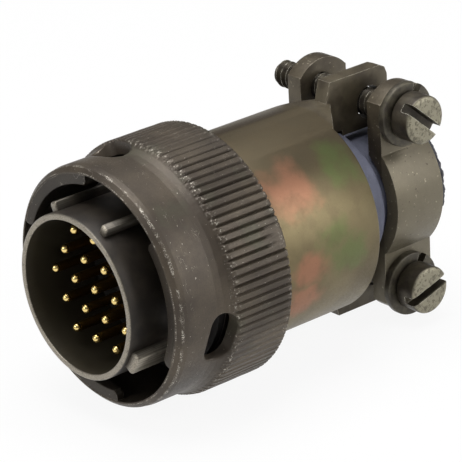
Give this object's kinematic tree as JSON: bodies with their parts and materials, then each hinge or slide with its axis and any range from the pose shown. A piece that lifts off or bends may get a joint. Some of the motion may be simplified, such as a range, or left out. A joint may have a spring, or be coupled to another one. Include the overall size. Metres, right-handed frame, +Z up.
{
  "type": "aviation plug connector",
  "caption": "Round bayonet-coupled cable plug with a knurled coupling ring, keyed pin insert, backshell and screwed cable clamp.",
  "frame": {"origin": "centre of the mating barrel's front rim, on the connector's axis", "axes": "+Y back along the connector's axis, from the mating face towards the cable; +Z up, along the line through both clamp screws; +X from the threaded saddle to the screw heads"},
  "size_m": [0.028, 0.0463, 0.028],
  "materials": {
    "shell_plate": "worn olive-grey plating",
    "ring_plate": "dark olive plating, bright where rubbed",
    "backshell_plate": "olive chromate plating",
    "clamp_plate": "olive chromate plating",
    "contact_gold": "gold plated",
    "insert_plastic": "moulded",
    "seal_rubber": "soft",
    "grommet_rubber": "soft",
    "ferrule_metal": "machined",
    "spring_steel": "bright",
    "bushing_rubber": "matt, bluish grey",
    "screw_steel": "dull plating, worn on the head",
    "washer_steel": "dull plating"
  },
  "bodies": {
    "plug": {"plug_shell": "shell_plate", "front_seal": "seal_rubber", "insulator": "insert_plastic", "grommet": "grommet_rubber", "ferrule": "ferrule_metal", "contact_pin_01": "contact_gold", "contact_pin_02": "contact_gold", "contact_pin_03": "contact_gold", "contact_pin_04": "contact_gold", "contact_pin_05": "contact_gold", "contact_pin_06": "contact_gold", "contact_pin_07": "contact_gold", "contact_pin_08": "contact_gold", "contact_pin_09": "contact_gold", "contact_pin_10": "contact_gold", "contact_pin_11": "contact_gold", "contact_pin_12": "contact_gold", "contact_pin_13": "contact_gold", "contact_pin_14": "contact_gold", "contact_pin_15": "contact_gold", "contact_pin_16": "contact_gold", "contact_pin_17": "contact_gold", "contact_pin_18": "contact_gold", "contact_pin_19": "contact_gold", "wave_spring": "spring_steel", "thrust_washer": "spring_steel", "retaining_clip": "spring_steel", "backshell": "backshell_plate", "cable_bushing": "bushing_rubber"},
    "ring": {"coupling_ring": "ring_plate"},
    "clamp": {"saddle_plain": "clamp_plate", "lock_washer_upper": "washer_steel", "lock_washer_lower": "washer_steel"},
    "grip": {"saddle_threaded": "clamp_plate"},
    "screw_upper": {"clamp_screw_upper": "screw_steel"},
    "screw_lower": {"clamp_screw_lower": "screw_steel"}
  },
  "joints": [
    {"name": "ring_turn", "type": "hinge", "parent": "plug", "child": "ring", "pos_m": [0, 0.01, 0], "axis": [0, -1, 0], "continuous": true},
    {"name": "clamp_float", "type": "slide", "parent": "plug", "child": "clamp", "axis": [1, 0, 0], "range_m": [0, 0.0015]},
    {"name": "screw_upper_turn", "type": "hinge", "parent": "clamp", "child": "screw_upper", "pos_m": [0, 0.04128, 0.01], "axis": [-1, 0, 0], "range_deg": [-1800, 675]},
    {"name": "screw_lower_turn", "type": "hinge", "parent": "clamp", "child": "screw_lower", "pos_m": [0, 0.04128, -0.01], "axis": [-1, 0, 0], "range_deg": [-1800, 675]},
    {"name": "grip_travel", "type": "slide", "parent": "clamp", "child": "grip", "axis": [1, 0, 0], "range_m": [-0.004, 0.0015]}
  ],
  "couplings": [
    {"joint": "screw_upper_turn", "follows": "grip_travel", "rad_per_m": 7854},
    {"joint": "screw_lower_turn", "follows": "grip_travel", "rad_per_m": 7854}
  ]
}
